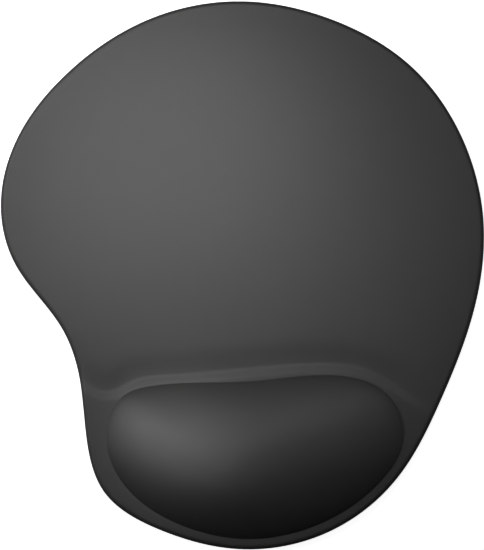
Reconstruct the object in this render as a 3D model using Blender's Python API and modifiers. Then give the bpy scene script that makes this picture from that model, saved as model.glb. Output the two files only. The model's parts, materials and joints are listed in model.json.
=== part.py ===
"""A soft mouse mat with a gel wrist rest formed into its front edge, in metres.

The mat lies on the desk: +X points right, +Y away from the user and +Z up, and the origin is on the
desk under the middle of the outline. It is a stack of six pieces. From the desk upwards they are the
grip base, the foam body with a well in it, the seal film and the gel pad that lie in that well, the
backing film, and the knitted cover, which wraps the rounded rim. The gel makes the dome of the wrist
rest, which stands on a flange a little higher than the mousing surface.
"""

import math

import bmesh
import bpy
import numpy as np
from mathutils.geometry import delaunay_2d_cdt

MM = 0.001

# Heights and thicknesses.
MAT_TOP = 5.0 * MM  # the mousing surface
FLANGE_RISE = 0.4 * MM  # the flange round the gel, above the mousing surface
DOME_RISE = 14.6 * MM  # the crest of the gel, above the flange
COVER = 0.7 * MM
FILM = 0.3 * MM
GRIP_BASE = 1.2 * MM
WELL_FLOOR = 1.2 * MM  # the foam left under the gel
GAP = 0.3 * MM  # between pieces that touch
HEM_Z = 0.6 * MM  # the cover's lower edge, just above the desk

# Where the inner pieces lie: depths are measured inwards from the cover's outer face, heights from
# the desk.
FILM_DEPTH = COVER + GAP
FOAM_DEPTH = FILM_DEPTH + FILM + GAP
FOAM_BOTTOM = GRIP_BASE + GAP
WELL_BOTTOM = FOAM_BOTTOM + WELL_FLOOR
SEAL_BOTTOM = WELL_BOTTOM + GAP
GEL_BOTTOM = SEAL_BOTTOM + FILM + GAP

# The rim and the step.
RIM_RADIUS = 2.2 * MM
RIM_TURNS = 3  # facets round the rim
STEP_FOOT = 0.9 * MM  # the slope up to the flange starts this far behind the step's line
STEP_RUN = 4.5 * MM  # and is this wide
STEP_END = 5.0 * MM  # the row along the slope's foot stops this far inside the flat top
FLANGE_FADES = (62.0 * MM, 82.0 * MM)  # the flange sinks to the mousing surface between these X
DIP = 0.8 * MM  # the mousing surface dips towards the foot of the step
DIP_REACH = 12.0 * MM

# The dome rises steeply at its crease and is nearly level in the middle.
DOME_ROWS = (0.96, 0.87, 0.71, 0.45)  # shares of the way from the crest to the crease
DOME_POWERS = (2.1, 0.85)
DOME_CENTRE = np.array([-10.0, -84.5]) * MM
COLLAR = 1.0 * MM  # the well's wall, outside the crease

OUTLINE_POINTS = 80
CREASE_POINTS = 48
STEP_POINTS = 22
OPEN_SPACING = 24.0 * MM  # between the points of the open mousing surface
CURVE_SAMPLES = 24  # samples between two control points, before even spacing
MERGE = 0.001 * MM  # points nearer than this are one point
ZONE_FLAT, ZONE_COLLAR, ZONE_DOME = range(3)  # outside the well, over its edge, over the gel
SHARP = math.radians(40)  # edges sharper than this aren't shaded smooth

# Curves by hand, in millimetres, anticlockwise from above.
OUTLINE = [
    (-3, 117), (-42, 108.5), (-74, 87.2), (-96.5, 58), (-103.3, 29), (-97, 4.5), (-77, -23),
    (-69.7, -44), (-67, -67), (-59.5, -92), (-34.5, -109), (1, -117), (37.5, -109.2),
    (65.4, -87.3), (84.5, -53.5), (99, -14), (103, 20), (94.7, 56.5), (72, 89.2), (39.5, 108.7),
]
CREASE = [
    (-51, -51.5), (-57, -61.5), (-57.3, -75.5), (-48, -92.3), (-25, -107), (3, -112.4),
    (38, -103.5), (60, -86.5), (68.6, -70), (66.5, -57.5), (57, -47.3), (41, -42.8),
    (3, -45.2), (-39, -47.2),
]
STEP = [
    (-76, -36), (-64.5, -47.5), (-59, -50), (-54.5, -49.2), (-46, -45), (-35, -43.3),
    (-3, -40.7), (34, -38.1), (53.5, -40.7), (68.5, -49.2), (88, -63),
]


# Curves.

def smooth_curve(points, count, closed=True):
    """count points in metres, evenly spaced along the cubic spline through points in millimetres."""
    nodes = np.array(points + points[:1] if closed else points, dtype=float) * MM
    lengths = np.linalg.norm(np.diff(nodes, axis=0), axis=1)
    slopes = np.diff(nodes, axis=0) / lengths[:, None]
    system = np.zeros((len(nodes), len(nodes)))
    target = np.zeros((len(nodes), 2))
    for i in range(1, len(nodes) - 1):
        system[i, i - 1 : i + 2] = lengths[i - 1], 2 * (lengths[i - 1] + lengths[i]), lengths[i]
        target[i] = 6 * (slopes[i] - slopes[i - 1])
    system[0, 0] = system[-1, -1] = 1
    if closed:
        system[0, -1] = -1
        system[-1, [0, 1]] = 2 * lengths[0], lengths[0]
        system[-1, [-1, -2]] = 2 * lengths[-1], lengths[-1]
        target[-1] = 6 * (slopes[0] - slopes[-1])
    bends = np.linalg.solve(system, target)
    t = np.linspace(0, 1, CURVE_SAMPLES, endpoint=False)[:, None]
    fine = []
    for i, length in enumerate(lengths):
        sag = (2 - t) * bends[i] + (1 + t) * bends[i + 1]
        fine.append((1 - t) * nodes[i] + t * nodes[i + 1] - length**2 / 6 * t * (1 - t) * sag)
    fine = np.vstack(fine + [nodes[-1:]])
    along = np.concatenate([[0], np.cumsum(np.linalg.norm(np.diff(fine, axis=0), axis=1))])
    at = np.linspace(0, along[-1], count, endpoint=not closed)
    return np.column_stack([np.interp(at, along, fine[:, axis]) for axis in (0, 1)])


def inset(curve, distance):
    """A closed anticlockwise curve moved inwards by distance, or outwards if it is negative."""
    tangent = np.roll(curve, -1, axis=0) - np.roll(curve, 1, axis=0)
    tangent /= np.linalg.norm(tangent, axis=1)[:, None]
    return curve + distance * np.column_stack([-tangent[:, 1], tangent[:, 0]])


def inside(points, curve):
    """Which of the points lie inside a closed curve, by counting the edges to the right of each."""
    start, end = curve, np.roll(curve, -1, axis=0)
    x, y = points[:, :1], points[:, 1:]
    crosses = (start[:, 1] > y) != (end[:, 1] > y)
    rise = np.where(end[:, 1] == start[:, 1], 1, end[:, 1] - start[:, 1])
    edge_x = start[:, 0] + (y - start[:, 1]) * (end[:, 0] - start[:, 0]) / rise
    return (crosses & (x < edge_x)).sum(axis=1) % 2 == 1


def smooth_step(share):
    """0 below 0, 1 above 1, and a smooth rise between."""
    share = np.clip(share, 0, 1)
    return share * share * (3 - 2 * share)


outline = smooth_curve(OUTLINE, OUTLINE_POINTS)
crease = smooth_curve(CREASE, CREASE_POINTS)
step_line = smooth_curve(STEP, STEP_POINTS, closed=False)


# The cover's outer face.

def flat_height(points):
    """The cover's height away from the dome: mousing surface, dip, step and flange."""
    beyond = points[:, 1] - np.interp(points[:, 0], step_line[:, 0], step_line[:, 1])
    fade = 1 - smooth_step((points[:, 0] - FLANGE_FADES[0]) / np.ptp(FLANGE_FADES))
    mat = MAT_TOP - DIP * fade * (1 - smooth_step(np.abs(beyond) / DIP_REACH))
    flange = MAT_TOP + FLANGE_RISE * fade
    return mat + (flange - mat) * smooth_step((STEP_FOOT - beyond) / STEP_RUN)


def raised(points):
    """Points in plan put on the cover's outer face, away from the dome."""
    return np.column_stack([points, flat_height(points)])


def rim_rows():
    """The cover's closed rows from its hem, up the side and round the rim to the flat top."""
    top = raised(inset(outline, RIM_RADIUS))
    hem = np.column_stack([outline, np.full(OUTLINE_POINTS, HEM_Z)])
    rows = [hem]
    for turn in range(RIM_TURNS):
        angle = math.radians(90) * turn / RIM_TURNS
        row = inset(outline, RIM_RADIUS * (1 - math.cos(angle)))
        rows.append(np.column_stack([row, top[:, 2] - RIM_RADIUS * (1 - math.sin(angle))]))
    return rows + [top]


def dome_rows():
    """The dome's closed rows from the well's wall, over the crease and inwards."""
    rows = [raised(inset(crease, -COLLAR)), raised(crease)]
    for share in DOME_ROWS:
        row = raised(DOME_CENTRE + (crease - DOME_CENTRE) * share)
        row[:, 2] = rows[1][:, 2] * share + (MAT_TOP + FLANGE_RISE) * (1 - share)
        row[:, 2] += DOME_RISE * (1 - share ** DOME_POWERS[0]) ** DOME_POWERS[1]
        rows.append(row)
    return rows


def slope_foot():
    """The foot of the slope up to the flange, as an open row that stops short of the rim."""
    row = step_line + (0, STEP_FOOT)
    return row[inside(row, inset(outline, RIM_RADIUS + STEP_END))]


def open_points(spacing):
    """A staggered grid over the mousing surface, clear of its edge and of the step."""
    left, front = outline.min(axis=0)
    right, back = outline.max(axis=0)
    grid = [
        (x + spacing / 2 * (row % 2), y)
        for row, y in enumerate(np.arange(front, back, spacing))
        for x in np.arange(left, right, spacing)
    ]
    grid = np.array(grid)
    clear = grid[:, 1] > np.interp(grid[:, 0], step_line[:, 0], step_line[:, 1]) + spacing / 2
    return grid[clear & inside(grid, inset(outline, RIM_RADIUS + spacing / 3))]


def add_strip(skin, lower, upper, zone):
    """Quads between two closed rows of as many points, and the vertices of the upper row."""
    mark = skin.faces.layers.int["zone"]
    rings = [[skin.verts.new(point) for point in row] for row in (lower, upper)]
    for i in range(len(lower)):
        j = (i + 1) % len(lower)
        face = skin.faces.new((rings[0][i], rings[0][j], rings[1][j], rings[1][i]))
        face[mark] = zone
    return rings[1]


def add_flat(skin, top_row, well_row):
    """Triangles over the mousing surface and the flange, between the rim and the well."""
    plan = []
    edges = []
    for row, closed in [(top_row, True), (well_row, True), (slope_foot(), False)]:
        first = len(plan)
        plan += [(point[0], point[1]) for point in row]
        edges += [(i, i + 1) for i in range(first, len(plan) - 1)]
        if closed:
            edges.append((len(plan) - 1, first))
    plan += [tuple(point) for point in open_points(OPEN_SPACING)]
    border_face = list(range(len(top_row)))
    inside_only = 1
    result = delaunay_2d_cdt(plan, edges, [border_face], inside_only, MERGE)
    plan = np.array([tuple(point) for point in result[0]])
    triangles = result[2]
    middles = np.array([plan[tri].mean(axis=0) for tri in triangles])
    verts = [skin.verts.new(point) for point in raised(plan)]
    for tri, in_well in zip(triangles, inside(middles, well_row[:, :2])):
        if not in_well:
            skin.faces.new([verts[i] for i in tri])


def cover_skin():
    """The cover's outer face as an open mesh, with each face's zone."""
    skin = bmesh.new()
    mark = skin.faces.layers.int.new("zone")
    rim = rim_rows()
    dome = dome_rows()
    for lower, upper in zip(rim, rim[1:]):
        add_strip(skin, lower, upper, ZONE_FLAT)
    add_flat(skin, rim[-1], dome[0])
    add_strip(skin, dome[0], dome[1], ZONE_COLLAR)
    for lower, upper in zip(dome[1:], dome[2:]):
        last_ring = add_strip(skin, lower, upper, ZONE_DOME)
    crest = skin.verts.new((*DOME_CENTRE, MAT_TOP + FLANGE_RISE + DOME_RISE))
    for i, vert in enumerate(last_ring):
        face = skin.faces.new((vert, last_ring[(i + 1) % len(last_ring)], crest))
        face[mark] = ZONE_DOME
    bmesh.ops.remove_doubles(skin, verts=skin.verts, dist=MERGE)
    bmesh.ops.recalc_face_normals(skin, faces=skin.faces)
    if crest.normal.z < 0:
        bmesh.ops.reverse_faces(skin, faces=skin.faces)
    skin.normal_update()
    return skin


def sunk_skin(depth):
    """The cover's outer face moved inwards by the same depth everywhere."""
    skin = cover_skin()
    moves = [(vert, vert.normal * depth * vert.calc_shell_factor()) for vert in skin.verts]
    for vert, move in moves:
        vert.co -= move
    return skin


# From skins to pieces.

def add_floor(skin, ring):
    """Closes a flat ring of edges."""
    floor = bmesh.ops.contextual_create(skin, geom=ring)["faces"]
    bmesh.ops.triangulate(skin, faces=floor)


def add_walls(skin, edges, height, plan):
    """Walls down from a ring of edges to the nearest points of plan, at height, with a floor."""
    walls = bmesh.ops.extrude_edge_only(skin, edges=edges)["geom"]
    ring = [item for item in walls if isinstance(item, bmesh.types.BMEdge) and item.is_boundary]
    for vert in {vert for edge in ring for vert in edge.verts}:
        nearest = np.linalg.norm(plan - np.array(vert.co.xy), axis=1).argmin()
        vert.co = (*plan[nearest], height)
    add_floor(skin, ring)


def open_edges(skin):
    """The border edges of an open skin."""
    return [edge for edge in skin.edges if edge.is_boundary]


def keep_zone(skin, zone):
    """Removes the faces of the other zones."""
    mark = skin.faces.layers.int["zone"]
    faces = [face for face in skin.faces if face[mark] != zone]
    bmesh.ops.delete(skin, geom=faces, context="FACES")


def finished(name, skin, material, collection):
    """The skin as an object, smooth but for its sharp edges."""
    bmesh.ops.recalc_face_normals(skin, faces=skin.faces)
    mesh = bpy.data.meshes.new(name)
    skin.to_mesh(mesh)
    skin.free()
    mesh.shade_smooth()
    mesh.set_sharp_from_angle(angle=SHARP)
    mesh.materials.append(material)
    item = bpy.data.objects.new(name, mesh)
    collection.objects.link(item)
    return item


def shell(name, depth, thickness, material, collection):
    """A sheet of even thickness whose outer face lies depth below the cover's outer face."""
    item = finished(name, sunk_skin(depth), material, collection)
    solidify = item.modifiers.new("thickness", "SOLIDIFY")
    solidify.thickness = thickness
    solidify.offset = -1
    solidify.use_even_offset = True
    return item


def flat_sheet(name, curve, bottom, thickness, material, collection):
    """A flat sheet cut to a closed curve, lying with its lower face at bottom."""
    data = bpy.data.curves.new(name, "CURVE")
    data.dimensions = "2D"
    data.fill_mode = "BOTH"
    data.extrude = thickness / 2
    spline = data.splines.new("POLY")
    spline.points.add(len(curve) - 1)
    for point, (x, y) in zip(spline.points, curve):
        point.co = (x, y, 0, 1)
    spline.use_cyclic_u = True
    data.materials.append(material)
    item = bpy.data.objects.new(name, data)
    item.location.z = bottom + thickness / 2
    collection.objects.link(item)
    return item


def plain_material(name, colour, roughness):
    """A non-metal surface of one colour."""
    material = bpy.data.materials.new(name)
    material.use_nodes = True
    shader = material.node_tree.nodes["Principled BSDF"]
    shader.inputs["Base Color"].default_value = (*colour, 1)
    shader.inputs["Roughness"].default_value = roughness
    shader.inputs["Metallic"].default_value = 0
    return material


# The six pieces.

def make_grip_base(collection):
    rubber = plain_material("grip_rubber", (0.02, 0.02, 0.02), 0.75)
    footprint = inset(outline, FOAM_DEPTH)
    return flat_sheet("grip_base", footprint, 0, GRIP_BASE, rubber, collection)


def make_foam_body(collection):
    foam = plain_material("foam", (0.03, 0.03, 0.032), 0.9)
    skin = sunk_skin(FOAM_DEPTH)
    keep_zone(skin, ZONE_FLAT)
    rim = [edge for edge in open_edges(skin) if edge.verts[0].co.z < FOAM_BOTTOM]
    for vert in {vert for edge in rim for vert in edge.verts}:
        vert.co.z = FOAM_BOTTOM
    add_floor(skin, rim)
    add_walls(skin, open_edges(skin), WELL_BOTTOM, inset(crease, -COLLAR))
    return finished("foam_body", skin, foam, collection)


def make_seal_film(collection):
    film = plain_material("clear_film", (0.6, 0.6, 0.6), 0.3)
    footprint = inset(crease, GAP - COLLAR)
    return flat_sheet("gel_seal_film", footprint, SEAL_BOTTOM, FILM, film, collection)


def make_gel_pad(collection):
    gel = plain_material("gel", (0.35, 0.42, 0.45), 0.2)
    skin = sunk_skin(FOAM_DEPTH)
    keep_zone(skin, ZONE_DOME)
    add_walls(skin, open_edges(skin), GEL_BOTTOM, inset(crease, GAP - COLLAR))
    return finished("gel_pad", skin, gel, collection)


def make_backing_film(collection):
    film = plain_material("black_film", (0.02, 0.02, 0.02), 0.35)
    return shell("backing_film", FILM_DEPTH, FILM, film, collection)


def make_cover(collection):
    knit = plain_material("knitted_fabric", (0.035, 0.035, 0.034), 0.85)
    return shell("cover_fabric", 0, COVER, knit, collection)


def main():
    for item in list(bpy.data.objects):
        bpy.data.objects.remove(item)
    collection = bpy.data.collections.new("gel_wrist_rest_mat")
    bpy.context.scene.collection.children.link(collection)
    make_grip_base(collection)
    make_foam_body(collection)
    make_seal_film(collection)
    make_gel_pad(collection)
    make_backing_film(collection)
    make_cover(collection)


main()
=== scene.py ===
"""The looks of a soft mouse mat with a gel wrist rest formed into its front edge.

Every layer of the mat is made from one fine skin, the outer face of the knitted cover. The skin is
rows round the rim, triangles over the flat part that follow the step behind the rest, and rings over
the dome, which a cloth simulation stretches over the gel.
"""

import json
import math

import bmesh
import bpy
import numpy as np
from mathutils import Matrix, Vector
from mathutils.geometry import delaunay_2d_cdt


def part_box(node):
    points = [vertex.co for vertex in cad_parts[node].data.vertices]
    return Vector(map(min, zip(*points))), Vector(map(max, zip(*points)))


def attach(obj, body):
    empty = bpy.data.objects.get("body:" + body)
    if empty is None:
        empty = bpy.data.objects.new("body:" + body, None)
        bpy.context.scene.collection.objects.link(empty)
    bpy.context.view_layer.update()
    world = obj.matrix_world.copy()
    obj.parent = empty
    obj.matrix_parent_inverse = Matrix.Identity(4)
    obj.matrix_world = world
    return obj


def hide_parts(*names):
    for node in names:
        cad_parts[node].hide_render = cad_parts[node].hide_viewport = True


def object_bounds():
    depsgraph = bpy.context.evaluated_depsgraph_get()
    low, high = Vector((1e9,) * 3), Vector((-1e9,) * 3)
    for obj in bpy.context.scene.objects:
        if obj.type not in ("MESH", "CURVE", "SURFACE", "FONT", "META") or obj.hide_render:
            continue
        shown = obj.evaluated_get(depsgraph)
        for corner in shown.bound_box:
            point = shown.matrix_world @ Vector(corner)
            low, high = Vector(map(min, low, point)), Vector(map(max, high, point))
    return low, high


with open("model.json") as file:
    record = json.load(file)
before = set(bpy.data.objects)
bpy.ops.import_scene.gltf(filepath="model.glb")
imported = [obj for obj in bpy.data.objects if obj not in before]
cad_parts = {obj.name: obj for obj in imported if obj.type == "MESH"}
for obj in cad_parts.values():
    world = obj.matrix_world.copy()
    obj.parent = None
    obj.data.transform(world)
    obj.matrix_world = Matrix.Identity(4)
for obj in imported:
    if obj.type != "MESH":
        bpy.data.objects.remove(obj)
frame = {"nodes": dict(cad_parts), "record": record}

MM = 0.001
QUARTER = math.pi / 2
FULL_TURN = 2 * math.pi
SHARP = math.radians(40)  # edges sharper than this aren't shaded smooth

cad_low, cad_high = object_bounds()
cover_low, cover_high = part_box("cover_fabric")
gel_low, gel_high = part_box("gel_pad")
foam_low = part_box("foam_body")[0]
grip_low, grip_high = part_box("grip_base")
mounts = {mount["name"]: mount["pos_m"] for mount in frame["record"]["mounts"]}

# Heights and thicknesses, as the frame has them.
MAT_TOP = mounts["mousing_surface"][2]
CREST = cover_high.z
HEM_Z = cover_low.z
COVER = 0.7 * MM
FILM = 0.3 * MM
GAP = 0.3 * MM  # between pieces that touch
FILM_DEPTH = COVER + GAP
FOAM_DEPTH = cover_high.z - gel_high.z
FOAM_BOTTOM = foam_low.z
WELL_FLOOR = 1.2 * MM  # the foam left under the gel
WELL_BOTTOM = FOAM_BOTTOM + WELL_FLOOR
GEL_BOTTOM = gel_low.z

# The rim, the step and the flange.
RIM_RADIUS = 2.2 * MM
RIM_ROWS = 11
SIDE_ROWS = 3
HEM_RADIUS = 0.8 * MM
HEM_ROWS = 4
FLANGE_TOP = MAT_TOP + 0.4 * MM
STEP_FOOT = 0.9 * MM  # the slope up to the flange starts this far behind the step's line
STEP_RUN = 4.5 * MM  # and is this wide
STEP_OFFSETS = MM * np.array([  # rows of points along the step, this far behind its line
    -4, -3.6, -3, -2.3, -1.6, -0.9, -0.2, 0.4, 0.9, 1.5, 2.3, 3.4, 5, 7, 9, 12,
])
ROW_CLEARANCE = 0.7 * MM  # between the rows along the step and those of the rim and the collar
FLANGE_FADES = (62.0 * MM, 82.0 * MM)  # the flange sinks to the mousing surface between these X
DIP = 0.8 * MM  # the mousing surface dips towards the foot of the step
DIP_REACH = 12.0 * MM

# The dome.
DOME_POWERS = (2.1, 0.85)
DOME_CENTRE = np.array([-10.0, -84.5]) * MM
DOME_RINGS = 40
RING_CROWDING = 1.7  # how much closer together the rings lie at the crease
COLLAR = 1.0 * MM  # the well's wall, outside the crease

# The cloth over the gel, simulated on a coarser dome.
CLOTH_RINGS = 16
CLOTH_STRIDE = 3  # one simulated sector for this many of the skin's
CLOTH_START = 0.97  # the share of its height that the dome starts from
CLOTH_FRAMES = 20
CLOTH_PRESSURE = 4.0
CLOTH_CAP = 1.5 * MM  # the furthest that a point may move
EVENING_PASSES = 12

OUTLINE_POINTS = 400
CREASE_POINTS = 240
STEP_POINTS = 240
OPEN_SPACING = 4.0 * MM
CURVE_SAMPLES = 60
MERGE = 0.001 * MM  # points nearer than this are one point

# The underside of the grip base: grooves between low diamonds.
GROOVE_PITCH = 4.0 * MM  # along X and along Y
GROOVE_DEPTH = 0.3 * MM
GRIP_SPACING = 1.0 * MM  # between the underside's points
GRIP_BEVEL = 0.4 * MM

# The cloth that the cover is cut from.
CLOTH_PLACE = "cloth_place"  # the attribute that holds each point's place in the flat cloth
WALE = 0.45 * MM
COURSE = 0.38 * MM
STITCH_RELIEF = 0.08 * MM
FIBRE = 0.12 * MM
SPECK = 0.5 * MM
MOTTLE = 9 * MM  # the size of the cloth's faint lighter and darker patches
KNIT_COLOUR = (0.0356, 0.0352, 0.0340)
KNIT_ROUGHNESS = 0.55

# The studio.
FLOOR_REACH = 10.0
FLOOR_GAP = 0.05 * MM
FLOOR_GLOW = 0.93
BACKDROP_RADIUS = 12.0
BACKDROP_GLOW = 1.0
FIELD = 234.85 * MM  # what the camera sees along the image's long side, at the mat's mid height
CAMERA_MIDDLE = (-0.3 * MM, 0.13 * MM)
CAMERA_DISTANCE = 1.5
WORLD_LIGHT = 0.02
SOFT_BOX = 0.2
SOFT_BOXES = [  # name, power, azimuth, elevation, distance
    ("upper_box", 1.0, 120, 58, 0.8),
    ("side_box", 0.96, 180, 28, 0.8),
    ("east_box", 0.15, -10, 18, 0.8),
]
SPOT_SOFTNESS = 0.4  # each lamp's radius as a share of its reach
SPOTS = [  # name, power, azimuth, elevation, distance, target, reach
    ("main_spot", 9.0, 120, 65, 0.9, (-0.03, 0.03), 0.13),
    ("top_spot", 8.5, 90, 75, 0.9, (-0.03, 0.03), 0.13),
    ("far_spot", 11.2, 90, 75, 0.9, (-0.045, 0.055), 0.092),
    ("right_spot", 2.0, 90, 75, 0.9, (0.07, 0.03), 0.12),
    ("dome_spot", 3.0, 160, 50, 0.9, (-0.006, -0.066), 0.042),
    ("crest_spot", 11.5, 135, 65, 0.9, (-0.028, -0.074), 0.035),
]

# Curves, in millimetres, anticlockwise from above, as in the CAD.
OUTLINE = [
    (-3, 117), (-42, 108.5), (-74, 87.2), (-96.5, 58), (-103.3, 29), (-97, 4.5), (-77, -23),
    (-69.7, -44), (-67, -67), (-59.5, -92), (-34.5, -109), (1, -117), (37.5, -109.2),
    (65.4, -87.3), (84.5, -53.5), (99, -14), (103, 20), (94.7, 56.5), (72, 89.2), (39.5, 108.7),
]
CREASE = [
    (-51, -51.5), (-57, -61.5), (-57.3, -75.5), (-48, -92.3), (-25, -107), (3, -112.4),
    (38, -103.5), (60, -86.5), (68.6, -70), (66.5, -57.5), (57, -47.3), (41, -42.8),
    (3, -45.2), (-39, -47.2),
]
STEP = [
    (-76, -36), (-64.5, -47.5), (-59, -50), (-54.5, -49.2), (-46, -45), (-35, -43.3),
    (-3, -40.7), (34, -38.1), (53.5, -40.7), (68.5, -49.2), (88, -63),
]


# Curves.

def smooth_curve(points, count, closed=True):
    """count points in metres, evenly spaced along the cubic spline through points in millimetres."""
    nodes = np.array(points + points[:1] if closed else points, dtype=float) * MM
    lengths = np.linalg.norm(np.diff(nodes, axis=0), axis=1)
    slopes = np.diff(nodes, axis=0) / lengths[:, None]
    system = np.zeros((len(nodes), len(nodes)))
    target = np.zeros((len(nodes), 2))
    for i in range(1, len(nodes) - 1):
        system[i, i - 1 : i + 2] = lengths[i - 1], 2 * (lengths[i - 1] + lengths[i]), lengths[i]
        target[i] = 6 * (slopes[i] - slopes[i - 1])
    system[0, 0] = system[-1, -1] = 1
    if closed:
        system[0, -1] = -1
        system[-1, [0, 1]] = 2 * lengths[0], lengths[0]
        system[-1, [-1, -2]] = 2 * lengths[-1], lengths[-1]
        target[-1] = 6 * (slopes[0] - slopes[-1])
    bends = np.linalg.solve(system, target)
    t = np.linspace(0, 1, CURVE_SAMPLES, endpoint=False)[:, None]
    fine = []
    for i, length in enumerate(lengths):
        sag = (2 - t) * bends[i] + (1 + t) * bends[i + 1]
        fine.append((1 - t) * nodes[i] + t * nodes[i + 1] - length**2 / 6 * t * (1 - t) * sag)
    fine = np.vstack(fine + [nodes[-1:]])
    along = np.concatenate([[0], np.cumsum(np.linalg.norm(np.diff(fine, axis=0), axis=1))])
    at = np.linspace(0, along[-1], count, endpoint=not closed)
    return np.column_stack([np.interp(at, along, fine[:, axis]) for axis in (0, 1)])


def normals_in(curve):
    """The unit normals of a closed anticlockwise curve, pointing inwards."""
    tangent = np.roll(curve, -1, axis=0) - np.roll(curve, 1, axis=0)
    tangent /= np.linalg.norm(tangent, axis=1)[:, None]
    return np.column_stack([-tangent[:, 1], tangent[:, 0]])


def inset(curve, distance):
    """A closed anticlockwise curve moved inwards by distance, or outwards if it is negative."""
    return curve + distance * normals_in(curve)


def inside(points, curve):
    """Which of the points lie inside a closed curve, by counting the edges to the right of each."""
    start, end = curve, np.roll(curve, -1, axis=0)
    x, y = points[:, :1], points[:, 1:]
    crosses = (start[:, 1] > y) != (end[:, 1] > y)
    rise = np.where(end[:, 1] == start[:, 1], 1, end[:, 1] - start[:, 1])
    edge_x = start[:, 0] + (y - start[:, 1]) * (end[:, 0] - start[:, 0]) / rise
    return (crosses & (x < edge_x)).sum(axis=1) % 2 == 1


def smooth_step(share):
    """0 below 0, 1 above 1, and a smooth rise between."""
    share = np.clip(share, 0, 1)
    return share * share * (3 - 2 * share)


outline = smooth_curve(OUTLINE, OUTLINE_POINTS)
crease = smooth_curve(CREASE, CREASE_POINTS)
step_line = smooth_curve(STEP, STEP_POINTS, closed=False)


# The shape of the skin.

def step_distance(points):
    """How far each point lies behind the step, measured square to it; negative on the flange."""
    y = np.interp(points[:, 0], step_line[:, 0], step_line[:, 1])
    slope = np.gradient(step_line[:, 1], step_line[:, 0])
    tilt = np.interp(points[:, 0], step_line[:, 0], slope)
    return (points[:, 1] - y) / np.hypot(1, tilt)


def flat_height(points):
    """The cover's height away from the dome: mousing surface, dip, step and flange."""
    beyond = step_distance(points)
    fade = 1 - smooth_step((points[:, 0] - FLANGE_FADES[0]) / np.ptp(FLANGE_FADES))
    mat = MAT_TOP - DIP * fade * (1 - smooth_step(np.abs(beyond) / DIP_REACH))
    flange = MAT_TOP + (FLANGE_TOP - MAT_TOP) * fade
    return mat + (flange - mat) * smooth_step((STEP_FOOT - beyond) / STEP_RUN)


def rim_row(plan, height, turn, beyond):
    """A row round the rim: its points, the way inwards at each, and its place in the flat cloth.

    turn is the angle round the rim, from down over outwards to up, and beyond is how much cloth lies
    between the row and the flat top.
    """
    height = np.broadcast_to(height, OUTLINE_POINTS)
    rise = np.full(OUTLINE_POINTS, -math.sin(turn))
    inwards = np.column_stack([normals_in(outline) * math.cos(turn), rise])
    return np.column_stack([plan, height]), inwards, inset(outline, RIM_RADIUS - beyond)


def rim_rows(foot, hem_radius):
    """Rows from the lower edge at foot, round a hem and up the side, and round the rim to the top."""
    top = flat_height(inset(outline, RIM_RADIUS))
    side_foot = foot + hem_radius
    side = MAT_TOP - RIM_RADIUS - side_foot
    rows = []
    for turn in np.linspace(-QUARTER, 0, HEM_ROWS, endpoint=False) if hem_radius else []:
        plan = inset(outline, hem_radius * (1 - math.cos(turn)))
        height = side_foot + hem_radius * math.sin(turn)
        rows.append(rim_row(plan, height, turn, RIM_RADIUS * QUARTER + side - hem_radius * turn))
    for share in np.linspace(0, 1, SIDE_ROWS, endpoint=False):
        height = side_foot + (top - RIM_RADIUS - side_foot) * share
        rows.append(rim_row(outline, height, 0, RIM_RADIUS * QUARTER + side * (1 - share)))
    for turn in np.linspace(0, QUARTER, RIM_ROWS):
        plan = inset(outline, RIM_RADIUS * (1 - math.cos(turn)))
        height = top - RIM_RADIUS * (1 - math.sin(turn))
        rows.append(rim_row(plan, height, turn, RIM_RADIUS * (QUARTER - turn)))
    return rows


def drafted_dome(shares, border, rise):
    """The dome as drafted: closed rings at shares of the way from its centre to its border."""
    share = shares[:, None]
    plan = DOME_CENTRE + (border - DOME_CENTRE) * share[..., None]
    base = flat_height(border) * share + FLANGE_TOP * (1 - share)
    return np.dstack([plan, base + rise * (1 - share ** DOME_POWERS[0]) ** DOME_POWERS[1]])


def simulated(points, faces, pinned):
    """The points after the cloth between them has been blown out against its pinned ones."""
    mesh = bpy.data.meshes.new("stretch")
    mesh.from_pydata([tuple(point) for point in points], [], faces)
    item = bpy.data.objects.new("stretch", mesh)
    bpy.context.scene.collection.objects.link(item)
    item.vertex_groups.new(name="pinned").add(pinned, 1, "REPLACE")
    cloth = item.modifiers.new("stretch", "CLOTH")
    cloth.settings.vertex_group_mass = "pinned"
    cloth.settings.effector_weights.gravity = 0
    cloth.settings.use_pressure = True
    cloth.settings.uniform_pressure_force = CLOTH_PRESSURE
    cloth.point_cache.frame_end = CLOTH_FRAMES
    for number in range(1, CLOTH_FRAMES + 1):
        bpy.context.scene.frame_set(number)
    blown = item.evaluated_get(bpy.context.evaluated_depsgraph_get()).data
    moved = np.array([tuple(vert.co) for vert in blown.vertices])
    bpy.data.objects.remove(item)
    bpy.data.meshes.remove(mesh)
    bpy.context.scene.frame_set(1)
    return moved


def stretch_moves():
    """How far the coarse dome's points move when the gel presses the cloth out."""
    shares = np.linspace(1, 0, CLOTH_RINGS, endpoint=False)
    rings = drafted_dome(shares, crease[::CLOTH_STRIDE], CLOTH_START * (CREST - FLANGE_TOP))
    count = rings.shape[1]
    points = list(rings.reshape(-1, 3)) + [(*DOME_CENTRE, rings[-1, :, 2].max())]
    rows = [list(range(first, first + count)) for first in range(0, len(points) - 1, count)]
    faces = fan(rows[-1], len(points) - 1) + [tuple(reversed(rows[0]))]
    for lower, upper in zip(rows, rows[1:]):
        faces += strip(lower, upper)
    moves = simulated(points, faces, rows[0])[:-1].reshape(rings.shape) - rings
    lengths = np.linalg.norm(moves, axis=2, keepdims=True)
    return shares, moves * np.minimum(1, CLOTH_CAP / np.maximum(lengths, MERGE))


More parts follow.
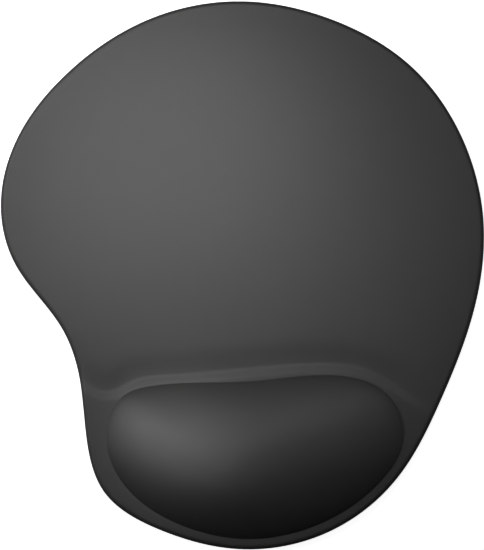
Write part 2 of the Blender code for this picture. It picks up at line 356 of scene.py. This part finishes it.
def spread_moves(shares):
    """The coarse dome's moves spread over the skin's rings and evened out."""
    coarse_shares, coarse = stretch_moves()
    sectors = np.arange(CREASE_POINTS)
    places = np.arange(0, CREASE_POINTS + 1, CLOTH_STRIDE)
    wrapped = np.concatenate([coarse, coarse[:, :1]], axis=1)
    moves = np.empty((len(shares), CREASE_POINTS, 3))
    for axis in range(3):
        rows = [np.interp(sectors, places, row) for row in wrapped[..., axis]]
        columns = [np.interp(-shares, -coarse_shares, column) for column in np.transpose(rows)]
        moves[..., axis] = np.transpose(columns)
    for _ in range(EVENING_PASSES):
        moves = (np.roll(moves, 1, axis=1) + 2 * moves + np.roll(moves, -1, axis=1)) / 4
        moves[1:-1] = (moves[:-2] + 2 * moves[1:-1] + moves[2:]) / 4
    return moves


def dome_rings():
    """The dome's rings from the crease inwards, stretched over the gel and as high as the frame's."""
    shares = 1 - np.linspace(0, 1, DOME_RINGS, endpoint=False) ** RING_CROWDING
    rings = drafted_dome(shares, crease, CREST - FLANGE_TOP)
    rings += spread_moves(shares)
    rise = rings[..., 2] - FLANGE_TOP
    rings[..., 2] = FLANGE_TOP + rise * np.where(rise > 0, (CREST - FLANGE_TOP) / rise.max(), 1)
    return rings


def dome_inwards(rings):
    """The way inwards at each point of the rings, square to the dome."""
    along = np.roll(rings, -1, axis=1) - np.roll(rings, 1, axis=1)
    across = np.gradient(rings, axis=0)
    inwards = -np.cross(along, across)
    return inwards / np.linalg.norm(inwards, axis=2, keepdims=True)


def step_rows():
    """Open rows along the step, close together on its slope, that stop short of the rim."""
    clear = inset(outline, RIM_RADIUS + ROW_CLEARANCE)
    well = inset(crease, -COLLAR - ROW_CLEARANCE)
    rows = []
    for offset in STEP_OFFSETS:
        row = step_line + (0, offset)
        kept = inside(row, clear) & ~inside(row, well)
        cuts = np.flatnonzero(np.diff(kept)) + 1
        runs = zip(np.split(row, cuts), np.split(kept, cuts))
        rows += [run for run, run_kept in runs if run_kept[0] and len(run) > 1]
    return rows


def open_points():
    """A staggered grid over the mousing surface, clear of its edge and of the step's rows."""
    left, front = outline.min(axis=0)
    right, back = outline.max(axis=0)
    grid = np.array([
        (x + OPEN_SPACING / 2 * (row % 2), y)
        for row, y in enumerate(np.arange(front, back, OPEN_SPACING))
        for x in np.arange(left, right, OPEN_SPACING)
    ])
    beyond = step_distance(grid)
    clear = (beyond > STEP_OFFSETS[-1]) | (beyond < STEP_OFFSETS[0] - OPEN_SPACING / 3)
    clear &= inside(grid, inset(outline, RIM_RADIUS + OPEN_SPACING / 3))
    return grid[clear & ~inside(grid, inset(crease, -COLLAR - OPEN_SPACING / 3))]


# Faces.

def strip(lower, upper):
    """Quads between two closed rows of as many points."""
    count = len(lower)
    pairs = [(i, (i + 1) % count) for i in range(count)]
    return [(lower[i], lower[j], upper[j], upper[i]) for i, j in pairs]


def fan(row, tip):
    """Triangles from a closed row to one point."""
    return [(row[i], row[(i + 1) % len(row)], tip) for i in range(len(row))]


def triangulated(border, holes, lines, loose):
    """Triangles in plan inside a closed row: their corners, the triangles, and the corners' sources.

    holes are closed rows that stay empty, and lines are open rows that edges follow. A corner's
    source is its number among the points of the border, the holes, the lines and the loose points.
    """
    plan = []
    edges = []
    for row in [border] + holes + lines:
        first = len(plan)
        plan += [tuple(point) for point in row]
        edges += [(i, i + 1) for i in range(first, len(plan) - 1)]
        if row is border or any(row is hole for hole in holes):
            edges.append((len(plan) - 1, first))
    plan += [tuple(point) for point in loose]
    inside_only = 1
    result = delaunay_2d_cdt(plan, edges, [list(range(len(border)))], inside_only, MERGE)
    corners = np.array([tuple(corner) for corner in result[0]])
    triangles = result[2]
    for hole in holes:
        filled = inside(corners[np.array(triangles)].mean(axis=1), hole)
        triangles = [triangle for triangle, dropped in zip(triangles, filled) if not dropped]
    return corners, triangles, [source[0] for source in result[3]]


class Skin:
    """The cover's outer face, with the way inwards and the place in the flat cloth of each point."""

    def __init__(self, foot, hem_radius=0):
        self.points = []
        self.inwards = []
        self.cloth = []
        self.flat_faces = []
        self.collar_faces = []
        self.dome_faces = []
        rim = [self.add(*row) for row in rim_rows(foot, hem_radius)]
        self.edge = rim[0]
        for lower, upper in zip(rim, rim[1:]):
            self.flat_faces += strip(lower, upper)
        self.well = self.add_dome()
        self.add_flat(rim[-1])

    def add(self, points, inwards=(0, 0, -1), cloth=None):
        """Adds a row of points and gives their numbers."""
        first = len(self.points)
        self.points += list(points)
        self.inwards += list(np.broadcast_to(inwards, (len(points), 3)))
        self.cloth += list(np.array(points)[:, :2] if cloth is None else cloth)
        return list(range(first, len(self.points)))

    def add_dome(self):
        """Adds the collar outside the crease and the dome, and gives the collar's row."""
        collar = inset(crease, -COLLAR)
        well = self.add(np.column_stack([collar, flat_height(collar)]))
        inwards = dome_inwards(dome)
        inwards[0] = inwards[1] + (0, 0, -1)
        self.rings = [self.add(*ring) for ring in zip(dome, inwards)]
        crest = self.add([(*DOME_CENTRE, CREST)])
        self.collar_faces += strip(well, self.rings[0])
        for lower, upper in zip(self.rings, self.rings[1:]):
            self.dome_faces += strip(lower, upper)
        self.dome_faces += fan(self.rings[-1], crest[0])
        return well

    def add_flat(self, rim):
        """Adds the mousing surface, the step and the flange, between the rim and the collar."""
        border, well = [np.array(self.points)[row][:, :2] for row in (rim, self.well)]
        corners, triangles, sources = triangulated(border, [well], step_rows(), open_points())
        shared = dict(enumerate(rim + self.well))
        new = [i for i, source in enumerate(sources) if source not in shared]
        added = self.add(np.column_stack([corners[new], flat_height(corners[new])]))
        numbers = {i: shared[source] for i, source in enumerate(sources) if source in shared}
        numbers.update(zip(new, added))
        self.flat_faces += [tuple(numbers[i] for i in triangle) for triangle in triangles]

    def sunk(self, depth):
        """The points moved inwards by depth."""
        return np.array(self.points) + depth * np.array(self.inwards)

    def faces(self):
        """All of the skin's faces."""
        return self.flat_faces + self.collar_faces + self.dome_faces


# From skins to pieces.

def piece(name, points, faces, material, replaced):
    """A closed piece that rides on the mat and stands for a CAD node."""
    mesh = bpy.data.meshes.new(name)
    mesh.from_pydata([tuple(point) for point in points], [], faces)
    tidy = bmesh.new()
    tidy.from_mesh(mesh)
    loose = [vert for vert in tidy.verts if not vert.link_faces]
    bmesh.ops.delete(tidy, geom=loose, context="VERTS")
    bmesh.ops.recalc_face_normals(tidy, faces=tidy.faces)
    tidy.to_mesh(mesh)
    tidy.free()
    mesh.shade_smooth()
    mesh.set_sharp_from_angle(angle=SHARP)
    mesh.materials.append(material)
    item = bpy.data.objects.new(name, mesh)
    bpy.context.scene.collection.objects.link(item)
    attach(item, "root")
    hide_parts(replaced)
    return item


def shell(name, skin, depth, thickness, material, replaced):
    """A closed sheet whose outer face lies depth inside the skin."""
    outer = skin.sunk(depth)
    count = len(outer)
    back = [tuple(i + count for i in reversed(face)) for face in skin.faces()]
    edge = strip([i + count for i in skin.edge], skin.edge)
    points = np.vstack([outer, skin.sunk(depth + thickness)])
    return piece(name, points, skin.faces() + back + edge, material, replaced)


def make_cover():
    """The knitted cover, with its hem turned in and each point's place in the flat cloth."""
    skin = Skin(HEM_Z, HEM_RADIUS)
    item = shell("knitted_cover", skin, 0, COVER, knit(), "cover_fabric")
    places = item.data.attributes.new(CLOTH_PLACE, "FLOAT_VECTOR", "POINT")
    cloth = np.column_stack([skin.cloth, np.zeros(len(skin.cloth))])
    places.data.foreach_set("vector", np.vstack([cloth, cloth]).astype(np.float32).ravel())
    return item


def make_backing():
    """The film under the cover, with a plain lower edge."""
    skin = Skin(HEM_Z)
    return shell("backing_sheet", skin, FILM_DEPTH, FILM, black_film(), "backing_film")


def make_gel():
    """The dome's inside, with walls out to the well's edge and a flat floor on the seal film."""
    skin = Skin(HEM_Z)
    points = skin.sunk(FOAM_DEPTH)
    footprint = inset(crease, GAP - COLLAR)
    floor = np.column_stack([footprint, np.full(CREASE_POINTS, GEL_BOTTOM)])
    foot = list(range(len(points), len(points) + CREASE_POINTS))
    faces = skin.dome_faces + strip(foot, skin.rings[0]) + [tuple(reversed(foot))]
    return piece("gel_cushion", np.vstack([points, floor]), faces, gel(), "gel_pad")


def make_foam():
    """The body of the mat, with the well that the gel lies in."""
    skin = Skin(FOAM_BOTTOM)
    points = skin.sunk(FOAM_DEPTH)
    bottom = [(*points[i][:2], WELL_BOTTOM) for i in skin.well]
    foot = list(range(len(points), len(points) + CREASE_POINTS))
    faces = skin.flat_faces + strip(skin.well, foot) + [tuple(foot), tuple(reversed(skin.edge))]
    return piece("foam_core", np.vstack([points, bottom]), faces, foam(), "foam_body")


def groove_depth(points):
    """How deep the grooves along both diagonals are at each point of the underside."""
    diagonals = np.stack([points.sum(axis=1), points[:, 0] - points[:, 1]]) / GROOVE_PITCH
    off_groove = np.abs(diagonals - np.round(diagonals)).min(axis=0)
    return GROOVE_DEPTH * smooth_step(1 - off_groove * GROOVE_PITCH / GRIP_SPACING)


def make_grip():
    """The grip base: a flat sheet with a bevelled lower edge and a grooved underside."""
    footprint = inset(outline, FOAM_DEPTH)
    bevel = inset(footprint, GRIP_BEVEL)
    low, high = footprint.min(axis=0), footprint.max(axis=0)
    columns, rows = [np.arange(low[axis], high[axis], GRIP_SPACING) for axis in (0, 1)]
    grid = np.array([(x, y) for x in columns for y in rows])
    grid = grid[inside(grid, inset(bevel, GRIP_SPACING / 2))]
    corners, triangles, _ = triangulated(bevel, [], [], grid)
    depth = groove_depth(corners) * inside(corners, inset(bevel, GRIP_SPACING / 4))
    top = np.column_stack([footprint, np.full(OUTLINE_POINTS, grip_high.z)])
    side = np.column_stack([footprint, np.full(OUTLINE_POINTS, grip_low.z + GRIP_BEVEL)])
    points = np.vstack([top, side, np.column_stack([corners, grip_low.z + depth])])
    top_row, side_row, bottom_row = np.arange(3 * OUTLINE_POINTS).reshape(3, -1).tolist()
    faces = [tuple(top_row)] + strip(side_row, top_row) + strip(bottom_row, side_row)
    first = 2 * OUTLINE_POINTS
    faces += [tuple(first + i for i in reversed(triangle)) for triangle in triangles]
    return piece("grip_sheet", points, faces, rubber(), "grip_base")


# Materials.

class Surface:
    """A procedural material, built node by node."""

    def __init__(self, name, colour, roughness, **constants):
        self.material = bpy.data.materials.new(name)
        self.material.use_nodes = True
        self.tree = self.material.node_tree
        self.shader = self.tree.nodes["Principled BSDF"]
        self.shader.inputs["Base Color"].default_value = (*colour, 1)
        self.shader.inputs["Roughness"].default_value = roughness
        for socket, value in constants.items():
            self.shader.inputs[socket.replace("_", " ")].default_value = value

    def node(self, kind, inputs, **settings):
        """A new node, with each input a value or another node's output."""
        node = self.tree.nodes.new(kind)
        for name, value in settings.items():
            setattr(node, name, value)
        for name, value in inputs.items():
            if isinstance(value, bpy.types.NodeSocket):
                self.tree.links.new(value, node.inputs[name])
            else:
                node.inputs[name].default_value = value
        return node

    def object_place(self):
        """Each point's place on the object."""
        return self.node("ShaderNodeTexCoord", {}).outputs["Object"]

    def maths(self, operation, *values):
        """A sum on numbers and outputs."""
        return self.node("ShaderNodeMath", dict(enumerate(values)), operation=operation).outputs[0]

    def noise(self, size, detail=2.0, place=None):
        """Noise from 0 to 1 whose lumps are about size across."""
        inputs = {"Vector": place or self.object_place(), "Scale": 1 / size, "Detail": detail}
        return self.node("ShaderNodeTexNoise", inputs).outputs[0]

    def ramp(self, value, low, high):
        """value from 0 to 1 as a number from low to high."""
        return self.node("ShaderNodeMapRange", {0: value, 3: low, 4: high}).outputs[0]

    def tint(self, colour, share):
        """The base colour times share."""
        tinted = self.node("ShaderNodeVectorMath", {0: colour, 3: share}, operation="SCALE")
        self.tree.links.new(tinted.outputs[0], self.shader.inputs["Base Color"])

    def rough(self, value):
        """Sets the roughness from another node's output."""
        self.tree.links.new(value, self.shader.inputs["Roughness"])

    def bump(self, height, distance, strength=1.0):
        """Relief whose height runs from 0 to distance."""
        inputs = {"Height": height, "Distance": distance, "Strength": strength}
        normal = self.node("ShaderNodeBump", inputs).outputs[0]
        self.tree.links.new(normal, self.shader.inputs["Normal"])


def knit():
    """Fine jersey: rows of small chevrons in upright columns, a little uneven in colour, with painted
    shade between the stitches.
    """
    surface = Surface("knitted_fabric", KNIT_COLOUR, KNIT_ROUGHNESS, Specular_IOR_Level=1.0)
    place = surface.node("ShaderNodeAttribute", {}, attribute_name=CLOTH_PLACE).outputs["Vector"]
    split = surface.node("ShaderNodeSeparateXYZ", {0: place})
    wales = surface.maths("DIVIDE", split.outputs["X"], WALE)
    courses = surface.maths("DIVIDE", split.outputs["Y"], COURSE)
    wave = surface.maths("SINE", surface.maths("MULTIPLY", wales, FULL_TURN))
    legs = surface.maths("ABSOLUTE", wave)
    slant = surface.maths("PINGPONG", wales, 0.5)
    rows = surface.maths("MULTIPLY", surface.maths("ADD", courses, slant), FULL_TURN)
    loops = surface.ramp(surface.maths("SINE", rows), 0.65, 1.0)
    stitches = surface.maths("MULTIPLY", legs, loops)
    fibres = surface.noise(FIBRE, place=place)
    height = surface.maths("ADD", stitches, surface.maths("MULTIPLY", fibres, 0.5))
    surface.bump(height, STITCH_RELIEF, 0.6)
    mottle = surface.ramp(surface.noise(MOTTLE, 3, place), 0.92, 1.08)
    specks = surface.ramp(surface.noise(SPECK, 2, place), 0.85, 1.15)
    # painted shade: the cloth is darker where the stitches' relief is low and lighter on their raised
    # tops
    painted_gap_shade = surface.ramp(stitches, 0.8, 1.15)
    share = surface.maths("MULTIPLY", surface.maths("MULTIPLY", mottle, specks), painted_gap_shade)
    surface.tint(KNIT_COLOUR, share)
    return surface.material


def black_film():
    """Thin glossy film with a faint cast of the foam under it."""
    colour = (0.016, 0.016, 0.017)
    surface = Surface("black_film", colour, 0.3, Coat_Weight=0.2)
    cast = surface.noise(3 * MM, 3)
    surface.tint(colour, surface.ramp(cast, 0.85, 1.15))
    surface.rough(surface.ramp(cast, 0.25, 0.4))
    surface.bump(cast, 0.05 * MM)
    return surface.material


def clear_film():
    """Thin clear film over the well, a little wavy."""
    colour = (0.75, 0.77, 0.78)
    surface = Surface("clear_film", colour, 0.15, Transmission_Weight=0.8, IOR=1.5)
    waves = surface.noise(6 * MM)
    surface.rough(surface.ramp(waves, 0.1, 0.25))
    surface.bump(waves, 0.05 * MM)
    return surface.material


def gel():
    """Clear soft gel with small bubbles in it."""
    colour = (0.5, 0.6, 0.64)
    surface = Surface("soft_gel", colour, 0.12, Transmission_Weight=0.7, IOR=1.41)
    inputs = {"Vector": surface.object_place(), "Scale": 1 / (4 * MM)}
    bubbles = surface.node("ShaderNodeTexVoronoi", inputs).outputs["Distance"]
    surface.tint(colour, surface.ramp(bubbles, 1.1, 0.9))
    surface.bump(surface.noise(2 * MM), 0.1 * MM)
    return surface.material


def foam():
    """Fine open-celled dark foam, with painted shade in its pores."""
    colour = (0.028, 0.028, 0.03)
    surface = Surface("foam", colour, 0.95)
    inputs = {"Vector": surface.object_place(), "Scale": 1 / (0.6 * MM)}
    cells = surface.node("ShaderNodeTexVoronoi", inputs).outputs["Distance"]
    # painted shade: darker in the middle of each cell, where the bump sinks the pores
    surface.tint(colour, surface.ramp(cells, 0.6, 1.3))
    surface.bump(cells, 0.2 * MM)
    return surface.material


def rubber():
    """Dull polyurethane with a fine grain."""
    colour = (0.022, 0.022, 0.022)
    surface = Surface("grip_rubber", colour, 0.7)
    surface.tint(colour, surface.ramp(surface.noise(4 * MM, 4), 0.8, 1.2))
    surface.rough(surface.ramp(surface.noise(1 * MM), 0.6, 0.8))
    surface.bump(surface.noise(0.3 * MM), 0.05 * MM)
    return surface.material


# The studio.

def glowing(name, colour, strength):
    """A pale matt surface that glows a little, so that it stays plain under uneven light."""
    surface = Surface(name, colour, 0.9, Emission_Color=(1, 1, 1, 1), Emission_Strength=strength)
    surface.tint(colour, surface.ramp(surface.noise(0.05), 0.99, 1.0))
    return surface.material


def stage_object(name, mesh, material):
    """Part of the studio, which the camera sees but which throws no light on the mat."""
    mesh.materials.append(material)
    item = bpy.data.objects.new(name, mesh)
    bpy.context.scene.collection.objects.link(item)
    item.visible_diffuse = False
    item.visible_glossy = False
    item.visible_transmission = False
    return item


def make_floor():
    """A wide plain floor, a hair below the mat so that the two don't touch."""
    mesh = bpy.data.meshes.new("floor")
    sides = [(-FLOOR_REACH, -FLOOR_REACH), (FLOOR_REACH, -FLOOR_REACH), (FLOOR_REACH, FLOOR_REACH),
             (-FLOOR_REACH, FLOOR_REACH)]
    mesh.from_pydata([(x, y, cad_low.z - FLOOR_GAP) for x, y in sides], [], [(0, 1, 2, 3)])
    stage_object("floor", mesh, glowing("floor_card", (0.82, 0.82, 0.82), FLOOR_GLOW))


def make_backdrop():
    """A wide ball round everything, seen behind the mat from low angles."""
    ball = bmesh.new()
    bmesh.ops.create_icosphere(ball, subdivisions=4, radius=BACKDROP_RADIUS)
    bmesh.ops.reverse_faces(ball, faces=ball.faces)
    mesh = bpy.data.meshes.new("backdrop")
    ball.to_mesh(mesh)
    ball.free()
    item = stage_object("backdrop", mesh, glowing("backdrop_card", (0, 0, 0), BACKDROP_GLOW))
    item.visible_shadow = False


def make_camera():
    """Straight down over the middle of the mat, from far enough off to see no sides."""
    data = bpy.data.cameras.new("camera")
    data.lens = data.sensor_width * CAMERA_DISTANCE / FIELD
    data.clip_start = CAMERA_DISTANCE / 10
    data.clip_end = CAMERA_DISTANCE * 10
    item = bpy.data.objects.new("camera", data)
    item.location = (*CAMERA_MIDDLE, CAMERA_DISTANCE + MAT_TOP / 2)
    bpy.context.scene.collection.objects.link(item)
    bpy.context.scene.camera = item


def hang(name, data, target, azimuth, elevation, distance):
    """Hangs a light so that it faces a point on the mat; azimuth is anticlockwise from +X."""
    turn, lift = math.radians(azimuth), math.radians(elevation)
    level = math.cos(lift)
    towards = Vector((math.cos(turn) * level, math.sin(turn) * level, math.sin(lift)))
    item = bpy.data.objects.new(name, data)
    item.location = Vector((*target, 0)) + towards * distance
    item.rotation_mode = "QUATERNION"
    item.rotation_quaternion = towards.to_track_quat("Z", "Y")
    item.visible_camera = False
    bpy.context.scene.collection.objects.link(item)


def make_soft_box(name, power, azimuth, elevation, distance):
    """A square of even light that faces the middle of the mat."""
    data = bpy.data.lights.new(name, "AREA")
    data.size = SOFT_BOX
    data.energy = power
    hang(name, data, (0, 0), azimuth, elevation, distance)


def make_spot(name, power, azimuth, elevation, distance, target, reach):
    """A soft-edged lamp that lights the mat as far as reach round its target."""
    data = bpy.data.lights.new(name, "SPOT")
    data.energy = power
    data.spot_blend = 1
    data.spot_size = 2 * math.atan(reach / distance)
    data.shadow_soft_size = SPOT_SOFTNESS * reach
    hang(name, data, target, azimuth, elevation, distance)


def make_world(strength):
    """Even white light from all round."""
    world = bpy.data.worlds.new("studio")
    world.use_nodes = True
    world.node_tree.nodes["Background"].inputs["Color"].default_value = (1, 1, 1, 1)
    world.node_tree.nodes["Background"].inputs["Strength"].default_value = strength
    bpy.context.scene.world = world


def main():
    """Makes the pieces and the studio."""
    cover = make_cover()
    backing = make_backing()
    cushion = make_gel()
    core = make_foam()
    make_grip()
    seal = frame["nodes"]["gel_seal_film"]
    seal.data.materials.clear()
    seal.data.materials.append(clear_film())
    make_floor()
    make_backdrop()
    make_camera()
    make_world(WORLD_LIGHT)
    for box in SOFT_BOXES:
        make_soft_box(*box)
    for spot in SPOTS:
        make_spot(*spot)
    bpy.context.scene.view_settings.view_transform = "Standard"


dome = dome_rings()
main()
